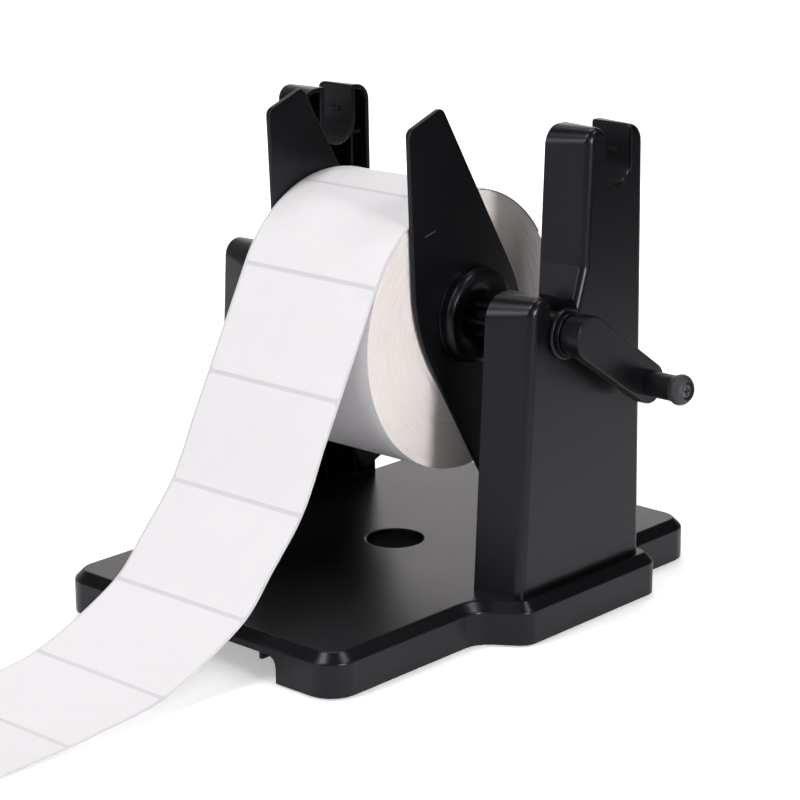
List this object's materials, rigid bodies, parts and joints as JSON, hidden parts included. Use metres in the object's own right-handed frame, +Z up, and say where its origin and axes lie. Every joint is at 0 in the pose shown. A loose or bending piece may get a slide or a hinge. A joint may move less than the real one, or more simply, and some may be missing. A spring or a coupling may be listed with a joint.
{
  "type": "manual label rewinder",
  "caption": "Bench holder with two slotted towers, a ribbed hand cranked spindle, sliding guide plates and a roll of labels running off the front.",
  "frame": {"origin": "on the base plate's flat top, midway between the two towers and level with their centre line", "axes": "+Z up, +X along the spindle towards the crank, -Y towards the side where the labels come out"},
  "size_m": [0.2385, 0.404, 0.2319],
  "materials": {
    "black_plastic": "satin moulded black",
    "rubber": "matte black",
    "steel": "zinc plated",
    "card": "spiral wound grey brown card",
    "paper": "cut paper layers",
    "labels": "smooth coated white labels on a thin liner"
  },
  "bodies": {
    "stand": {"base_plate": "black_plastic", "tower_left": "black_plastic", "tower_right": "black_plastic", "tower_screw_left_1": "steel", "tower_screw_left_2": "steel", "tower_screw_left_3": "steel", "tower_screw_right_1": "steel", "tower_screw_right_2": "steel", "tower_screw_right_3": "steel", "foot_pad_1": "rubber", "foot_pad_2": "rubber", "foot_pad_3": "rubber", "foot_pad_4": "rubber"},
    "web": {"label_web": "labels"},
    "spindle": {"spindle_shaft": "black_plastic", "crank_arm": "black_plastic", "knob_screw": "steel"},
    "plate_right": {"wing_right": "black_plastic"},
    "plate_left": {"wing_left": "black_plastic"},
    "knob": {"crank_knob": "black_plastic"},
    "roll": {"roll_core": "card", "label_roll": "paper"}
  },
  "joints": [
    {"name": "spindle_lift", "type": "slide", "parent": "stand", "child": "web", "axis": [0, 0, 1], "range_m": [0, 0.09]},
    {"name": "spindle_turn", "type": "hinge", "parent": "web", "child": "spindle", "pos_m": [0, -0.0131, 0.1157], "axis": [1, 0, 0], "continuous": true},
    {"name": "roll_turn", "type": "hinge", "parent": "web", "child": "roll", "pos_m": [0, -0.01453, 0.10758], "axis": [1, 0, 0], "continuous": true},
    {"name": "plate_right_slide", "type": "slide", "parent": "spindle", "child": "plate_right", "axis": [1, 0, 0], "range_m": [0, 0.0235]},
    {"name": "plate_left_slide", "type": "slide", "parent": "spindle", "child": "plate_left", "axis": [1, 0, 0], "range_m": [-0.021, 0]},
    {"name": "knob_turn", "type": "hinge", "parent": "spindle", "child": "knob", "pos_m": [0.12, 0.03042, 0.08634], "axis": [1, 0, 0], "continuous": true}
  ],
  "couplings": [
    {"joint": "roll_turn", "follows": "spindle_turn", "ratio": 0.5512}
  ]
}
